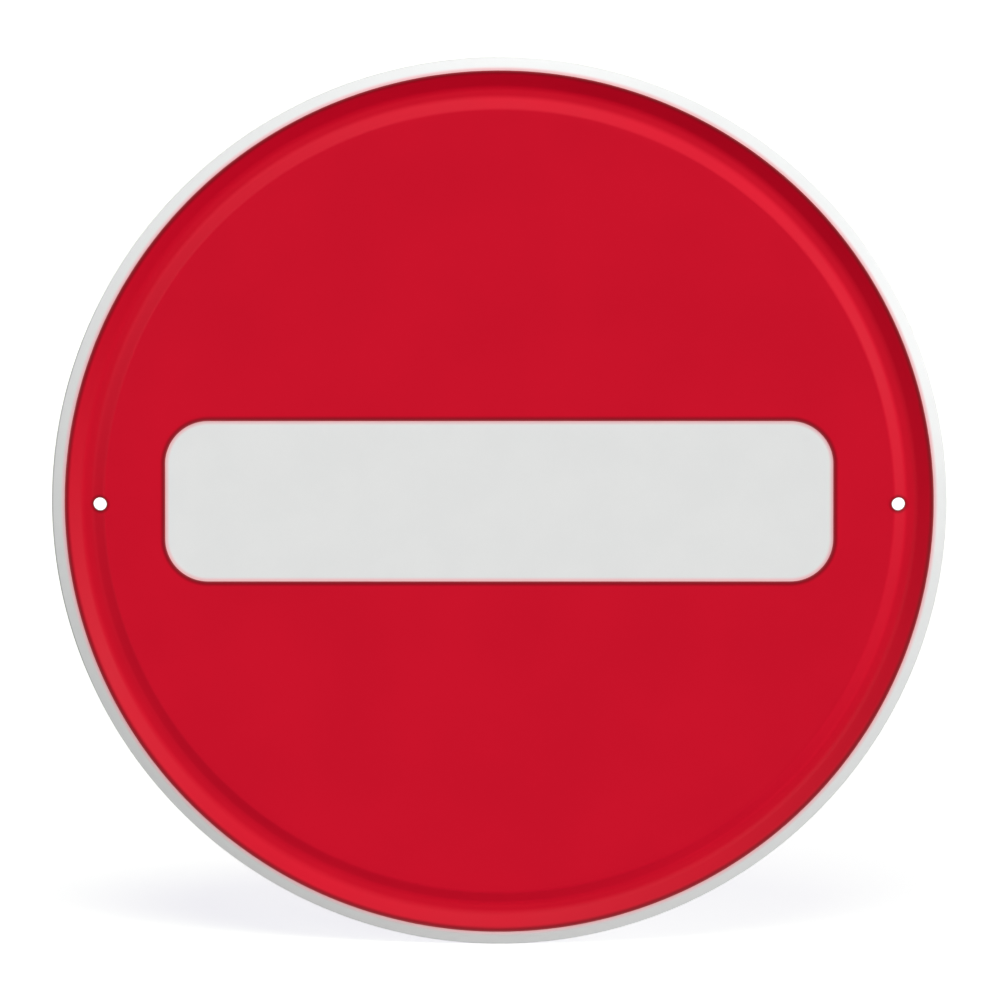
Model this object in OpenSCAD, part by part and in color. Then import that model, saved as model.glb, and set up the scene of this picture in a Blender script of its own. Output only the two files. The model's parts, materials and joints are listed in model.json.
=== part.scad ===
// Round no entry sign, pressed from one sheet of metal.
// The face looks along -Y with X to the right and Z up, and the plane Y = 0 is the wall:
// only the back of the pressed groove touches it.

/* [Disc] */
// Overall diameter of the sign
sign_d = 300; // [280:5:400]
// Thickness of the metal sheet, with its white coating
sheet_t = 1.2; // [0.8:0.1:2]
// Radius that breaks both corners of the cut edge
edge_r = 0.3; // [0.1:0.05:0.4]

/* [Pressed groove] */
// Width of the lip that leans back, from the crest of the rim to the sign's edge
lip_w = 4.4; // [3:0.1:8]
// Slope of the lip
lip_deg = 22; // [10:1:32]
// Height of the rim's crest above the bottom of the groove
crest_h = 2.65; // [1.8:0.05:3.5]
// Slope of the groove's outer side
outer_deg = 28; // [16:1:32]
// Width of the flat bottom of the groove
land_w = 1.2; // [0.5:0.1:4]
// Slope of the groove's inner side
inner_deg = 23; // [16:1:30]
// Height of the flat panel above the bottom of the groove
panel_h = 1.6; // [1.4:0.05:2.5]
// Inside radius of the bend at the rim's crest
crest_bend_r = 2.5; // [1:0.1:3]
// Inside radius of both bends at the bottom of the groove
groove_bend_r = 4.8; // [1:0.1:5.5]
// Inside radius of the bend at the panel's edge
panel_bend_r = 1.8; // [1:0.1:3]

/* [Red field] */
// Thickness of the red film
film_t = 0.15; // [0.05:0.05:0.3]
// Width of the white border left between the red film and the sign's edge
border_w = 4.3; // [3:0.1:8]
// Length of the white bar
bar_w = 224; // [180:1:235]
// Height of the white bar
bar_h = 54.3; // [40:0.1:80]
// Corner radius of the white bar
bar_r = 14.5; // [5:0.1:19]

/* [Fixing holes] */
// Diameter of each screw hole
hole_d = 4.4; // [3:0.1:6]
// Distance from the sign's edge to the centre of each hole
hole_inset = 16.2; // [10:0.1:30]
// Distance of the holes below the centre of the disc
hole_drop = 1; // [0:0.1:10]

/* [Hidden] */
$fn = 180;

// How far the chords of a bend may lie inside its true curve
arc_error = 0.002;
// How far each cutter runs past the material that it cuts
cut_over = 1;

rim_r = sign_d / 2;
field_r = rim_r - border_w;
hole_x = rim_r - hole_inset;

// The section is drawn along the face. In the groove the face is in the hollow of its bends
// and turns on their inside radius. At the crest and at the panel's edge it goes over the
// crown and turns one sheet further out.
hollow_r = groove_bend_r;
crest_crown_r = crest_bend_r + sheet_t;
panel_crown_r = panel_bend_r + sheet_t;

// Heights of the face above the wall
land_face = sheet_t;
panel_face = land_face + panel_h;
crest_face = land_face + crest_h;

// Width of a slope and its two bends, from its rise, its angle and the sum of their radii
function slope_w(rise, angle, radii) =
    let (straight = (rise - radii * (1 - cos(angle))) / sin(angle))
    radii * sin(angle) + straight * cos(angle);

// Radii at which the level parts of the face begin and end, worked inwards from the edge
crest_r = rim_r - lip_w;
land_out_r = crest_r - slope_w(crest_h, outer_deg, hollow_r + crest_crown_r);
land_in_r = land_out_r - land_w;
panel_r = land_in_r - slope_w(panel_h, inner_deg, hollow_r + panel_crown_r);

// The lip's own directions: along it towards the edge, and straight out of its face
lip_along = [cos(lip_deg), -sin(lip_deg)];
lip_out = [sin(lip_deg), cos(lip_deg)];
crest_centre = [crest_r, crest_face - crest_crown_r];
// Length along the lip from its bend to the rounded corner that reaches the rim's radius
lip_run = (rim_r - edge_r - crest_r - (crest_crown_r - edge_r) * sin(lip_deg)) / cos(lip_deg);

// A point on the lip's end, at a distance out of the face
function lip_end(out) = crest_centre + (crest_crown_r + out) * lip_out + lip_run * lip_along;

// Points along an arc, as many as arc_error asks for
function arc(centre, r, from, to) =
    let (steps = ceil(abs(to - from) / (2 * acos(1 - arc_error / r))))
    [for (i = [0:steps])
        let (a = from + (to - from) * i / steps)
        centre + r * [cos(a), sin(a)]];

function reversed(points) = [for (i = [len(points) - 1:-1:0]) points[i]];

// Half of the section's face from the axis to the end of the rim's bend, moved out of the
// face by a distance, with the straight slopes left to the gaps between the arcs
function face_line(out) = concat(
    [[0, panel_face + out]],
    arc([panel_r, panel_face - panel_crown_r], panel_crown_r + out, 90, 90 - inner_deg),
    arc([land_in_r, land_face + hollow_r], hollow_r - out, 270 - inner_deg, 270),
    arc([land_out_r, land_face + hollow_r], hollow_r - out, 270, 270 + outer_deg),
    arc(crest_centre, crest_crown_r + out, 90 + outer_deg, 90 - lip_deg)
);

// Half of the sheet's section, with both corners of its cut edge rounded
module sheet_section() {
    polygon(concat(
        face_line(0),
        arc(lip_end(-edge_r), edge_r, 90 - lip_deg, -lip_deg),
        arc(lip_end(edge_r - sheet_t), edge_r, -lip_deg, -90 - lip_deg),
        reversed(face_line(-sheet_t))
    ));
}

// Half of the film's section, which lies on the sheet and stops at the white border
module film_section() {
    intersection() {
        polygon(concat(
            face_line(film_t),
            [lip_end(film_t), lip_end(0)],
            reversed(face_line(0))
        ));
        square([field_r, crest_face + film_t + cut_over]);
    }
}

// Stands a disc that was turned about Z upright, with its face along -Y
module upright() {
    rotate([90, 0, 0]) children();
}

// The two screw holes, through every layer
module fixing_holes() {
    for (x = [-hole_x, hole_x])
        translate([x, -hole_drop, -cut_over])
            cylinder(d = hole_d, h = crest_face + film_t + 2 * cut_over);
}

// The white bar's outline, a rectangle with round corners
module bar_outline() {
    square([bar_w, bar_h - 2 * bar_r], center = true);
    square([bar_w - 2 * bar_r, bar_h], center = true);
    for (x = [-1, 1], y = [-1, 1])
        translate([x * (bar_w / 2 - bar_r), y * (bar_h / 2 - bar_r)]) circle(bar_r);
}

// The pressed metal disc, white all over its face
module sign_plate() {
    color("#e6e9e7") upright() difference() {
        rotate_extrude() sheet_section();
        fixing_holes();
    }
}

// The red film on the face, cut out round the white bar and short of the white border
module red_film() {
    color("#c4122a") upright() difference() {
        rotate_extrude() film_section();
        linear_extrude(crest_face + film_t + cut_over) bar_outline();
        fixing_holes();
    }
}

sign_plate();
red_film();
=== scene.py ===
import json
import math

import bmesh
import bpy
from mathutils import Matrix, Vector


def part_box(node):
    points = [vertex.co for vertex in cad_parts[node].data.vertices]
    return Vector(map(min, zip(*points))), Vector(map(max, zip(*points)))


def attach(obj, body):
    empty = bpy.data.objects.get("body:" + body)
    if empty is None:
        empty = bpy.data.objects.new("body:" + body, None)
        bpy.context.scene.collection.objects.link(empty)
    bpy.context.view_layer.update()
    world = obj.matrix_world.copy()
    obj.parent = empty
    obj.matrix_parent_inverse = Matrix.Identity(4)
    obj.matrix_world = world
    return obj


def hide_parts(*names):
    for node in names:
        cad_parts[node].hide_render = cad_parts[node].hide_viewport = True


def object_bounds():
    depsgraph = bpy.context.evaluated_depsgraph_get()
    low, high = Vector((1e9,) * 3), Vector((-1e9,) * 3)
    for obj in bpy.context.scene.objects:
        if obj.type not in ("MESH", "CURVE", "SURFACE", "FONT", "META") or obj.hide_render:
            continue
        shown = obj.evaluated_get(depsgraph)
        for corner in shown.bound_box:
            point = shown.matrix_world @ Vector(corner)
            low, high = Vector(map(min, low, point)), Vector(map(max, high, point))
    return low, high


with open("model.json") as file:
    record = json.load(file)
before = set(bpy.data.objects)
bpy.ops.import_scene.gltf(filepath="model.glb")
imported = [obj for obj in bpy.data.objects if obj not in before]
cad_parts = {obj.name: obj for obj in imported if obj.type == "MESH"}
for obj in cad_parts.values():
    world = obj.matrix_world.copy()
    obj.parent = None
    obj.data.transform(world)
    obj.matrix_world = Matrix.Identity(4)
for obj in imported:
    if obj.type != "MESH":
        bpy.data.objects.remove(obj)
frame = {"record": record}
cad_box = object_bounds()

# A round no entry sign of pressed sheet metal, standing upright on a plain white floor.
# Lengths are in metres. The face looks along -Y and the wall side is +Y, as in the frame.
# "Height" means height above the wall: a point of height h lies at Y = -h.

MM = 0.001

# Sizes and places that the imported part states
plate_low, plate_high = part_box("sign_plate")
film_low, film_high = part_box("red_film")
fixing_holes = next(m for m in frame["record"]["mounts"] if m["name"] == "fixing_holes")
RIM_R = min(-plate_low.x, plate_high.x, plate_high.z)
FIELD_R = min(-film_low.x, film_high.x, film_high.z)
CREST_FACE = -plate_low.y
FILM_T = plate_low.y - film_low.y
HOLE_R = fixing_holes["dims"]["hole_r_mm"] * MM
HOLE_X = fixing_holes["dims"]["spacing_x_mm"] * MM / 2
HOLE_Z = fixing_holes["pos_m"][2]

# The sheet and its pressed groove
SHEET_T = 1.2 * MM
PANEL_H = 1.6 * MM
LIP_W = 4.4 * MM
LAND_W = 1.2 * MM
EDGE_R = 0.3 * MM
CREST_BEND_R = 2.5 * MM
GROOVE_BEND_R = 4.8 * MM
PANEL_BEND_R = 1.8 * MM
LIP_DEG = 22
OUTER_DEG = 28
INNER_DEG = 23

# The white bar in the red field
BAR_W = 224 * MM
BAR_H = 54.3 * MM
BAR_R = 14.5 * MM

# How finely the meshes follow the round forms
COLUMNS = 480
FACE_STEP_DEG = 2
BACK_STEP_DEG = 3
EDGE_STEP_DEG = 10
HOLE_SIDES = 96
CORNER_STEP_DEG = 3
# Edges that turn more sharply than this stay sharp
SHARP_DEG = 35

# Colours, as shares of the light that they return
SHEETING_DULL = (0.793, 0.802, 0.797, 1)
SHEETING_CLEAN = (0.805, 0.813, 0.807, 1)
BEAD = (0.6, 0.62, 0.61, 1)
RED = (0.5975, 0.0004, 0.0173, 1)
# The next two are painted light: a paler red as a highlight on the inner slope, and a deeper red as
# shade in the groove and on its outer side
RED_PAINTED_HIGHLIGHT = (0.64, 0.003, 0.022, 1)
RED_PAINTED_SHADE = (0.585, 0.0004, 0.0165, 1)
FILM_CUT = (0.26, 0.25, 0.27, 1)
ALUMINIUM_DARK = (0.45, 0.46, 0.47, 1)
ALUMINIUM_PALE = (0.68, 0.69, 0.7, 1)
SCORE_DARK = (0.3, 0.31, 0.32, 1)
SCORE_PALE = (0.5, 0.51, 0.52, 1)
WHITE = (1, 1, 1, 1)

# The film's dark line: its tone as a factor on the red, and the distances from the cut edge at
# which it begins to fade and at which it ends
LINE_TONE = 0.42
LINE_FADES = 0.5 * MM
LINE_ENDS = 1.95 * MM
# How much narrower the line is round the holes
HOLE_LINE_BACK = 0.5 * MM

# Along the cut itself the line is less dark and a little grey: how much is added to its tone,
# how large a share of the cut's grey shows, and how wide both are
CUT_TONE = 0.35
CUT_TONE_W = 0.45 * MM
CUT_GREY = 0.14
CUT_GREY_W = 0.9 * MM

# Widths over which the red turns to a paler tone beyond the panel's edge, a painted highlight on
# the inner slope, and to a deeper one before the groove's bottom, painted shade in the groove
PAINTED_HIGHLIGHT_W = 1 * MM
PAINTED_SHADE_W = 1.5 * MM

# A painted red glow on the white beside the film's edge, as factors on its colour, and the
# distances from the edge between which it grows to the full
RED_GLOW_PAINTED = (1.1, 0.64, 0.67, 1)
RED_GLOW_FROM = 1.6 * MM
RED_GLOW_FULL = 0.2 * MM

# Painted shade: a dark line round the left of the rim, where its edge faces away from the light.
# Its tone as factors, how much of it shows, the distances from the rim between which it darkens,
# and how far left it begins and is full, in rim radii
RIM_PAINTED_SHADE = (0.1, 0.1, 0.1, 1)
RIM_PAINTED_SHADE_SHARE = 0.35
RIM_PAINTED_SHADE_FROM = 0.55 * MM
RIM_PAINTED_SHADE_FULL = 0.3 * MM
RIM_PAINTED_SHADE_LEFT = (0.85, 0.97)

# The photo's point of view
CAMERA_TILT_DEG = 7.7
CAMERA_DISTANCE = 13.972
CAMERA_LENS_MM = 1500
CAMERA_AIM = Vector((0.26, 0, 0.03)) * MM

# The light. Each lamp's place, seen from the sign, is an angle round its face from +X up to
# +Z and an angle away from straight in front. Its strength is in watts per square metre.
LAMPS = {
    "top_light": {"round": 90, "away": 46, "strength": 1.4},
    "side_light": {"round": 10, "away": 58, "strength": 2.35},
    "left_light": {"round": 150, "away": 30, "strength": 0.96},
}
# How wide each lamp looks from the sign
LAMP_WIDTH_DEG = 34

# The room is dark on the camera's side and has a bright backdrop on the other, which the back
# of the sign sees. Its brightness is a share of white, and goes from the one to the other while
# the direction's Y goes through this range.
ROOM_FRONT = 0.05
ROOM_BACK = 0.5
ROOM_TURN = (-0.2, 0.4)

# How far the floor reaches from its middle to each side
FLOOR_REACH = 30
# The floor's colour to all but the camera and shiny surfaces
FLOOR_GREY = (0.12, 0.12, 0.12, 1)
# In shiny surfaces the floor is grey before the sign and white behind it, and turns from one to
# the other between this far before it and this far behind it
FLOOR_TURN = 0.1
# The lamps' light on the floor, as a share of the light that makes white paper white
FLOOR_LIGHT = 0.57
# How much of that light the floor returns to the camera on the left and on the right of the
# sign, and each colour's share of it. The more it returns, the deeper the sign's shadow.
SHADOW_LEFT = 0.9
SHADOW_RIGHT = 0.5
SHADOW_TINT = (0.94, 1, 0.72)


# The pressed section, as rows of (radius, height)

HOLLOW_R = GROOVE_BEND_R
CREST_CROWN_R = CREST_BEND_R + SHEET_T
PANEL_CROWN_R = PANEL_BEND_R + SHEET_T


def bend(centre, radius, start, end, step):
    """Rows round a bend, by the direction that the face looks in: 0 away from the axis, 90
    straight out. The radius is negative where the face lies in the hollow of the bend."""
    count = math.ceil(abs(end - start) / step)
    turns = [math.radians(start + (end - start) * i / count) for i in range(count + 1)]
    return [(centre[0] + radius * math.cos(t), centre[1] + radius * math.sin(t)) for t in turns]


def slope_width(rise, degrees, radii):
    """Width of a slope and its two bends, from its rise, its angle and the sum of their radii."""
    angle = math.radians(degrees)
    straight = (rise - radii * (1 - math.cos(angle))) / math.sin(angle)
    return radii * math.sin(angle) + straight * math.cos(angle)


CREST_R = RIM_R - LIP_W
LAND_OUT_R = CREST_R - slope_width(CREST_FACE - SHEET_T, OUTER_DEG, HOLLOW_R + CREST_CROWN_R)
LAND_IN_R = LAND_OUT_R - LAND_W
PANEL_R = LAND_IN_R - slope_width(PANEL_H, INNER_DEG, HOLLOW_R + PANEL_CROWN_R)
CREST_CENTRE = Vector((CREST_R, CREST_FACE - CREST_CROWN_R))

# The lip's own directions, along it and straight out of its face, and its straight length
LIP_SIN = math.sin(math.radians(LIP_DEG))
LIP_COS = math.cos(math.radians(LIP_DEG))
LIP_ALONG = Vector((LIP_COS, -LIP_SIN))
LIP_OUT = Vector((LIP_SIN, LIP_COS))
LIP_RUN = (RIM_R - EDGE_R - CREST_R - (CREST_CROWN_R - EDGE_R) * LIP_SIN) / LIP_COS


def face_rows(out, step):
    """The face from the panel to the end of the rim's bend, moved out of the face."""
    panel = (PANEL_R, SHEET_T + PANEL_H - PANEL_CROWN_R)
    land_in = (LAND_IN_R, SHEET_T + HOLLOW_R)
    land_out = (LAND_OUT_R, SHEET_T + HOLLOW_R)
    return (
        bend(panel, PANEL_CROWN_R + out, 90, 90 - INNER_DEG, step)
        + bend(land_in, out - HOLLOW_R, 90 - INNER_DEG, 90, step)
        + bend(land_out, out - HOLLOW_R, 90, 90 + OUTER_DEG, step)
        + bend(CREST_CENTRE, CREST_CROWN_R + out, 90 + OUTER_DEG, 90 - LIP_DEG, step)
    )


def lip_end(out):
    """A point on the lip's end, moved out of the face."""
    return CREST_CENTRE + (CREST_CROWN_R + out) * LIP_OUT + LIP_RUN * LIP_ALONG


def film_line(out):
    """The face's rows as far as the white border, moved out of the face."""
    rows = face_rows(out, FACE_STEP_DEG)
    beyond = next(i for i, row in enumerate(rows) if row[0] > FIELD_R)
    (r0, h0), (r1, h1) = rows[beyond - 1:beyond + 1]
    return rows[:beyond] + [(FIELD_R, h0 + (h1 - h0) * (FIELD_R - r0) / (r1 - r0))]


# The kinds of surface on a piece, in the order of its material slots
FACE, BACK, EDGE, WALL = range(4)


def sheet_section():
    """All round the sheet, as pairs of rows and the kind of surface that they begin."""
    face_corner = bend(lip_end(-EDGE_R), EDGE_R, 90 - LIP_DEG, -LIP_DEG, EDGE_STEP_DEG)
    back_corner = bend(lip_end(EDGE_R - SHEET_T), EDGE_R, -LIP_DEG, -90 - LIP_DEG, EDGE_STEP_DEG)
    back = face_rows(-SHEET_T, BACK_STEP_DEG)[::-1]
    return [
        (face_rows(0, FACE_STEP_DEG) + face_corner[:-1], FACE),
        (face_corner[-1:] + back_corner[:-1], EDGE),
        (back_corner[-1:] + back, BACK),
    ]


def film_section():
    """All round the film, which ends square at the white border."""
    top = film_line(FILM_T)
    return [(top[:-1], FACE), (top[-1:], EDGE), (film_line(0)[::-1], BACK)]


# Meshes

def as_object(name, bm):
    """A new object in the scene from a bmesh, with its faces turned outwards."""
    bmesh.ops.recalc_face_normals(bm, faces=bm.faces)
    mesh = bpy.data.meshes.new(name)
    bm.to_mesh(mesh)
    bm.free()
    made = bpy.data.objects.new(name, mesh)
    bpy.context.scene.collection.objects.link(made)
    return made


def revolved(name, section):
    """A disc from its section, whose first and last rows bound the flat middle."""
    bm = bmesh.new()
    turns = [2 * math.pi * i / COLUMNS for i in range(COLUMNS)]
    rings = []
    kinds = []
    for rows, kind in section:
        for r, h in rows:
            rings.append([bm.verts.new((r * math.cos(t), -h, r * math.sin(t))) for t in turns])
            kinds.append(kind)
    for ring, following, kind in zip(rings, rings[1:], kinds):
        for i in range(COLUMNS):
            corners = (ring[i - 1], ring[i], following[i], following[i - 1])
            bm.faces.new(corners).material_index = kind
    bm.faces.new(rings[0]).material_index = kinds[0]
    bm.faces.new(rings[-1]).material_index = kinds[-1]
    return as_object(name, bm)


def cutter(outline):
    """A prism right through the sign, from an outline of points (x, z)."""
    bm = bmesh.new()
    front = [bm.verts.new((x, -2 * CREST_FACE, z)) for x, z in outline]
    back = [bm.verts.new((x, CREST_FACE, z)) for x, z in outline]
    for i in range(len(outline)):
        bm.faces.new((front[i - 1], front[i], back[i], back[i - 1]))
    bm.faces.new(front)
    bm.faces.new(back)
    for face in bm.faces:
        face.material_index = WALL
    return as_object("cutter", bm)


def hole_outline(side):
    """The screw hole on the left, side -1, or on the right, side 1."""
    turns = [2 * math.pi * i / HOLE_SIDES for i in range(HOLE_SIDES)]
    return [(side * HOLE_X + HOLE_R * math.cos(t), HOLE_Z + HOLE_R * math.sin(t)) for t in turns]


def bar_outline():
    """The white bar, a rectangle with round corners."""
    points = []
    for start, side_x, side_z in [(0, 1, 1), (90, -1, 1), (180, -1, -1), (270, 1, -1)]:
        centre = (side_x * (BAR_W / 2 - BAR_R), side_z * (BAR_H / 2 - BAR_R))
        points += bend(centre, BAR_R, start, start + 90, CORNER_STEP_DEG)
    return points


def cut_through(piece, outline, materials):
    """Cuts the piece right through along an outline. The cut's walls get the WALL surface."""
    tool = cutter(outline)
    for material in materials:
        tool.data.materials.append(material)
    modifier = piece.modifiers.new("cut", "BOOLEAN")
    modifier.solver = "EXACT"
    modifier.object = tool
    whole = piece.data
    evaluated = piece.evaluated_get(bpy.context.evaluated_depsgraph_get())
    piece.data = bpy.data.meshes.new_from_object(evaluated)
    piece.modifiers.clear()
    bpy.data.meshes.remove(whole)
    bpy.data.objects.remove(tool)


def finished(piece, outlines, materials):
    """Dresses the piece in its materials and cuts it through along each outline."""
    for material in materials:
        piece.data.materials.append(material)
    for outline in outlines:
        cut_through(piece, outline, materials)
    piece.data.name = piece.name
    piece.data.shade_smooth()
    piece.data.set_sharp_from_angle(angle=math.radians(SHARP_DEG))
    normals = piece.modifiers.new("flats_stay_flat", "WEIGHTED_NORMAL")
    normals.keep_sharp = True
    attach(piece, "root")
    return piece


# Materials

class Nodes:
    """The nodes of a material or of the world, so that they read as calls."""

    def __init__(self, owner, shader, **settings):
        self.owner = owner
        owner.use_nodes = True
        self.tree = owner.node_tree
        self.shader = self.tree.nodes[shader]
        self.set(**settings)
        self.place = self.node("TexCoord").outputs["Object"]

    @classmethod
    def of_material(cls, name, **settings):
        return cls(bpy.data.materials.new(name), "Principled BSDF", **settings)

    @classmethod
    def of_world(cls, name):
        return cls(bpy.data.worlds.new(name), "Background")

    def node(self, kind, inputs=(), **settings):
        """A new node. Its inputs are pairs of a socket's name or number and a value or an output."""
        made = self.tree.nodes.new("ShaderNode" + kind)
        for setting, value in settings.items():
            setattr(made, setting, value)
        for socket, value in inputs:
            self.feed(made.inputs[socket], value)
        return made

    def feed(self, socket, value):
        """Links an output to a socket, or sets a plain value on it."""
        if isinstance(value, bpy.types.NodeSocket):
            self.tree.links.new(value, socket)
        else:
            socket.default_value = value

    def set(self, **inputs):
        """Feeds the shader's inputs, by their names with _ for each space."""
        for socket, value in inputs.items():
            self.feed(self.shader.inputs[socket.replace("_", " ")], value)
        return self.owner

    def math(self, operation, *values):
        """An operation on numbers."""
        return self.node("Math", enumerate(values), operation=operation).outputs[0]

    def vector(self, operation, *values):
        """An operation on vectors or colours. A node's number counts for all three parts."""
        return self.node("VectorMath", enumerate(values), operation=operation).outputs[0]

    def split(self, vector):
        """The X, Y and Z of a vector."""
        return self.node("SeparateXYZ", [("Vector", vector)]).outputs

    def length(self, a, b):
        """The length of a line that runs a to the side and b upwards."""
        squares = self.math("ADD", self.math("MULTIPLY", a, a), self.math("MULTIPLY", b, b))
        return self.math("SQRT", squares)

    def noise(self, size, detail=2, stretch=(1, 1, 1)):
        """Noise from 0 to 1 whose features are about as large as size, times the stretch."""
        scaled = self.vector("MULTIPLY", self.place, tuple(1 / s for s in stretch))
        inputs = [("Vector", scaled), ("Scale", 1 / size), ("Detail", detail)]
        return self.node("TexNoise", inputs).outputs["Fac"]

    def ramp(self, value, start, end, low, high):
        """A smooth step from low to high while the value goes from start to end."""
        inputs = [("Value", value), ("From Min", start), ("From Max", end)]
        inputs += [("To Min", low), ("To Max", high)]
        return self.node("MapRange", inputs, interpolation_type="SMOOTHSTEP").outputs["Result"]

    def spread(self, noise, low, high):
        """Noise, which seldom leaves the middle of its range, spread from low to high."""
        return self.ramp(noise, 0.3, 0.7, low, high)

    def mix(self, share, first, second):
        """A colour between two, nearer the second one the larger the share is."""
        inputs = [("Factor", share), (6, first), (7, second)]
        return self.node("Mix", inputs, data_type="RGBA").outputs[2]

    def bump(self, height, depth, below=None):
        """A bump of a height from 0 to 1 times a depth in metres, over the bump below it."""
        inputs = [("Height", height), ("Distance", depth), ("Strength", 1)]
        if below:
            inputs.append(("Normal", below))
        return self.node("Bump", inputs).outputs["Normal"]

    def ray_kinds(self):
        """1 on the camera's own rays, and 1 on those that came by way of a gloss or of glass."""
        rays = self.node("LightPath").outputs
        shiny = self.math("MAXIMUM", rays["Is Glossy Ray"], rays["Is Transmission Ray"])
        return rays["Is Camera Ray"], shiny


def film_places(nodes):
    """Distances of a point from the axis and into the film from its nearest cut edge. The
    holes' edges count as lying further back, as the line along them is narrower."""
    x, _, z = nodes.split(nodes.place)
    side = nodes.math("ABSOLUTE", x)
    height = nodes.math("ABSOLUTE", z)
    axis = nodes.length(x, z)
    from_border = nodes.math("SUBTRACT", FIELD_R, axis)
    beside_hole = nodes.math("SUBTRACT", side, HOLE_X)
    above_hole = nodes.math("SUBTRACT", z, HOLE_Z)
    from_centre = nodes.length(beside_hole, above_hole)
    from_hole = nodes.math("SUBTRACT", from_centre, HOLE_R - HOLE_LINE_BACK)
    beside_bar = nodes.math("MAXIMUM", nodes.math("SUBTRACT", side, BAR_W / 2 - BAR_R), 0)
    above_bar = nodes.math("MAXIMUM", nodes.math("SUBTRACT", height, BAR_H / 2 - BAR_R), 0)
    from_bar = nodes.math("SUBTRACT", nodes.length(beside_bar, above_bar), BAR_R)
    return axis, nodes.math("MINIMUM", nodes.math("MINIMUM", from_border, from_hole), from_bar)


def waves(nodes):
    """The slight waviness of the sheet, which shows through whatever covers it."""
    return nodes.bump(nodes.noise(3 * MM), 0.006 * MM)


def white_sheeting():
    """White reflective sheeting: a satin skin over fine glass beads, a little uneven. Beside the
    film's edge it has a painted red glow, and a dark line of painted shade runs round the left
    of the rim."""
    nodes = Nodes.of_material("white_sheeting", Specular_IOR_Level=0.5)
    clouds = nodes.noise(14 * MM, detail=3)
    beads = nodes.noise(0.25 * MM, detail=1)
    sheeting = nodes.mix(nodes.spread(clouds, 0, 1), SHEETING_DULL, SHEETING_CLEAN)
    beaded = nodes.mix(nodes.ramp(beads, 0.35, 0.65, 0, 0.05), sheeting, BEAD)
    axis, into_film = film_places(nodes)
    # Painted red glow on the white beside the film's edge
    red_glow = nodes.ramp(into_film, -RED_GLOW_FROM, -RED_GLOW_FULL, 0, 1)
    # Painted shade: a dark line round the left of the rim, where its edge faces away from the light
    begins, full = RIM_PAINTED_SHADE_LEFT
    x, _, _ = nodes.split(nodes.place)
    shade_left = nodes.ramp(x, -full * RIM_R, -begins * RIM_R, RIM_PAINTED_SHADE_SHARE, 0)
    shade_at_rim = nodes.ramp(axis, RIM_R - RIM_PAINTED_SHADE_FROM, RIM_R - RIM_PAINTED_SHADE_FULL, 0, 1)
    shade = nodes.mix(red_glow, WHITE, RED_GLOW_PAINTED)
    shade = nodes.mix(nodes.math("MULTIPLY", shade_left, shade_at_rim), shade, RIM_PAINTED_SHADE)
    return nodes.set(
        Base_Color=nodes.vector("MULTIPLY", beaded, shade),
        Roughness=nodes.spread(clouds, 0.34, 0.4),
        Normal=nodes.bump(beads, 0.004 * MM, waves(nodes)),
    )


def red_film():
    """Clear red film over the sheeting, with a paler tone painted on as a highlight on the inner
    slope, a deeper tone painted on as shade from the groove's bottom outwards, and a dark line
    along its cut edges that greys towards the cut itself."""
    nodes = Nodes.of_material("red_film", Specular_IOR_Level=0.14)
    axis, from_cut = film_places(nodes)
    clouds = nodes.noise(40 * MM)
    # Painted highlight on the inner slope, and painted shade from the groove's bottom outwards
    painted_highlight = nodes.ramp(axis, PANEL_R, PANEL_R + PAINTED_HIGHLIGHT_W, 0, 1)
    painted_shade = nodes.ramp(axis, LAND_IN_R - PAINTED_SHADE_W, LAND_IN_R, 0, 1)
    colour = nodes.mix(painted_shade, nodes.mix(painted_highlight, RED, RED_PAINTED_HIGHLIGHT), RED_PAINTED_SHADE)
    line = nodes.ramp(from_cut, LINE_FADES, LINE_ENDS, LINE_TONE, 1)
    tone = nodes.math("ADD", line, nodes.ramp(from_cut, 0, CUT_TONE_W, CUT_TONE, 0))
    tone = nodes.math("MULTIPLY", tone, nodes.spread(clouds, 0.98, 1.02))
    grey = nodes.ramp(from_cut, 0, CUT_GREY_W, CUT_GREY, 0)
    return nodes.set(
        Base_Color=nodes.mix(grey, nodes.vector("MULTIPLY", colour, tone), FILM_CUT),
        Roughness=nodes.spread(clouds, 0.5, 0.54),
        Normal=waves(nodes),
    )


def mill_aluminium():
    """The bare back of the sheet, with the fine lines that the rolling mill leaves."""
    nodes = Nodes.of_material("mill_aluminium", Metallic=1, Anisotropic=0.5)
    lines = nodes.noise(0.3 * MM, detail=3, stretch=(120, 1, 1))
    clouds = nodes.noise(30 * MM, detail=3)
    return nodes.set(
        Base_Color=nodes.mix(lines, ALUMINIUM_DARK, ALUMINIUM_PALE),
        Roughness=nodes.spread(clouds, 0.34, 0.46),
        Normal=nodes.bump(lines, 0.004 * MM),
    )


def cut_metal():
    """The sheet's cut edge and the walls of its holes, scored across by the press tool."""
    nodes = Nodes.of_material("cut_metal", Metallic=1)
    scores = nodes.noise(0.12 * MM, stretch=(1, 12, 1))
    return nodes.set(
        Base_Color=nodes.mix(scores, SCORE_DARK, SCORE_PALE),
        Roughness=nodes.spread(scores, 0.35, 0.5),
        Normal=nodes.bump(scores, 0.01 * MM),
    )


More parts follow.
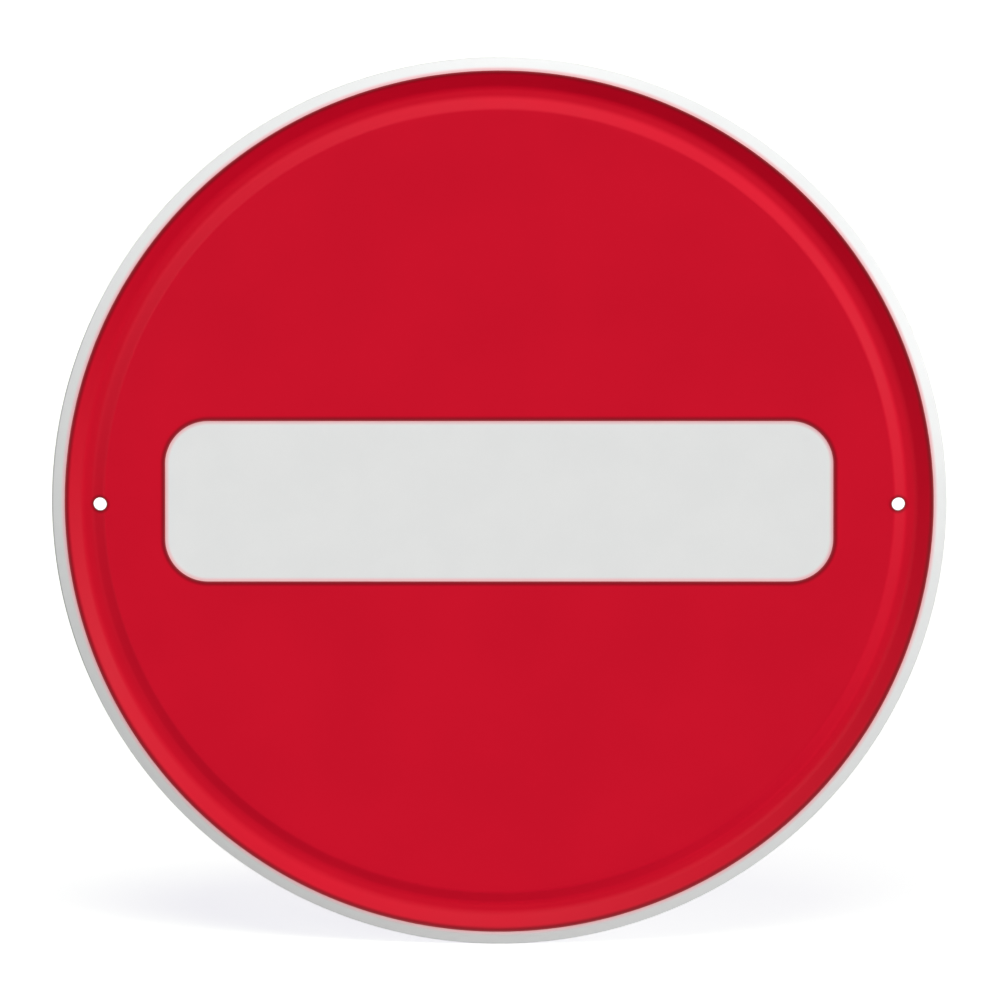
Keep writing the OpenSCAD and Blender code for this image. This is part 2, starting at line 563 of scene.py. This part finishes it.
def white_paper():
    """The floor's white. The camera sees the part of the lamps' light that the paper returns,
    which the sign can shade, and a glow that makes up the rest to white. Shiny surfaces see the
    same behind the sign. Everything else sees plain dark grey."""
    nodes = Nodes.of_material("white_paper", Roughness=0.9, Specular_IOR_Level=0)
    x, y, _ = nodes.split(nodes.place)
    camera_ray, shiny_ray = nodes.ray_kinds()
    behind = nodes.ramp(y, -FLOOR_TURN, FLOOR_TURN, 0, 1)
    seen = nodes.math("MAXIMUM", camera_ray, nodes.math("MULTIPLY", shiny_ray, behind))
    share = nodes.ramp(x, -RIM_R, RIM_R, SHADOW_LEFT, SHADOW_RIGHT)
    returned = nodes.vector("MULTIPLY", SHADOW_TINT, share)
    from_lamps = nodes.vector("MULTIPLY", returned, (FLOOR_LIGHT,) * 3)
    grain = nodes.spread(nodes.noise(2 * MM), 0.98, 1)
    return nodes.set(
        Base_Color=nodes.mix(seen, FLOOR_GREY, nodes.vector("MULTIPLY", returned, grain)),
        Emission_Color=nodes.vector("SUBTRACT", (1, 1, 1), from_lamps),
        Emission_Strength=seen,
    )


# The sign
red = red_film()
bare_edge = cut_metal()
both_holes = [hole_outline(-1), hole_outline(1)]

pressed_plate = finished(
    revolved("pressed_plate", sheet_section()),
    both_holes,
    [white_sheeting(), mill_aluminium(), bare_edge, bare_edge],
)
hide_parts("sign_plate")

red_field = finished(
    revolved("red_field", film_section()),
    both_holes + [bar_outline()],
    [red] * 4,
)
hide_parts("red_film")


# The room

scene = bpy.context.scene


def add_floor():
    """A level floor under the sign's lowest point."""
    bm = bmesh.new()
    bmesh.ops.create_grid(bm, x_segments=1, y_segments=1, size=FLOOR_REACH)
    floor = as_object("floor", bm)
    floor.location.z = cad_box[0].z
    floor.data.materials.append(white_paper())


def place_facing(thing, place, backwards):
    """Puts a lamp or camera at a place, with its back to a direction."""
    thing.location = place
    thing.rotation_mode = "QUATERNION"
    thing.rotation_quaternion = backwards.to_track_quat("Z", "Y")
    scene.collection.objects.link(thing)


def add_lamp(name, turn, away, strength):
    """A lamp that shines from very far away, turned round the sign's face by one angle in
    radians and away from straight in front by the other."""
    light = bpy.data.lights.new(name, "SUN")
    light.energy = strength
    light.angle = math.radians(LAMP_WIDTH_DEG)
    in_face = Vector((math.cos(turn), 0, math.sin(turn)))
    towards = math.sin(away) * in_face + math.cos(away) * Vector((0, -1, 0))
    holder = bpy.data.objects.new(name, light)
    place_facing(holder, towards, towards)


def room_light():
    """The world's light. To the camera the room is white all round, and a gloss shows it white on
    the backdrop's side."""
    nodes = Nodes.of_world("room")
    _, y, _ = nodes.split(nodes.node("TexCoord").outputs["Generated"])
    camera_ray, shiny_ray = nodes.ray_kinds()
    lit = nodes.ramp(y, *ROOM_TURN, ROOM_FRONT, ROOM_BACK)
    mirrored = nodes.ramp(y, *ROOM_TURN, ROOM_FRONT, 1)
    strength = nodes.math("MAXIMUM", camera_ray, nodes.ramp(shiny_ray, 0, 1, lit, mirrored))
    return nodes.set(Color=WHITE, Strength=strength)


def add_camera():
    """The camera, in front of the sign and a little above it."""
    tilt = math.radians(CAMERA_TILT_DEG)
    towards = Vector((0, -math.cos(tilt), math.sin(tilt)))
    camera = bpy.data.objects.new("camera", bpy.data.cameras.new("camera"))
    camera.data.lens = CAMERA_LENS_MM
    place_facing(camera, CAMERA_AIM + towards * CAMERA_DISTANCE, towards)
    return camera


add_floor()
for name, lamp in LAMPS.items():
    add_lamp(name, math.radians(lamp["round"]), math.radians(lamp["away"]), lamp["strength"])
scene.world = room_light()
scene.camera = add_camera()
scene.view_settings.view_transform = "Standard"
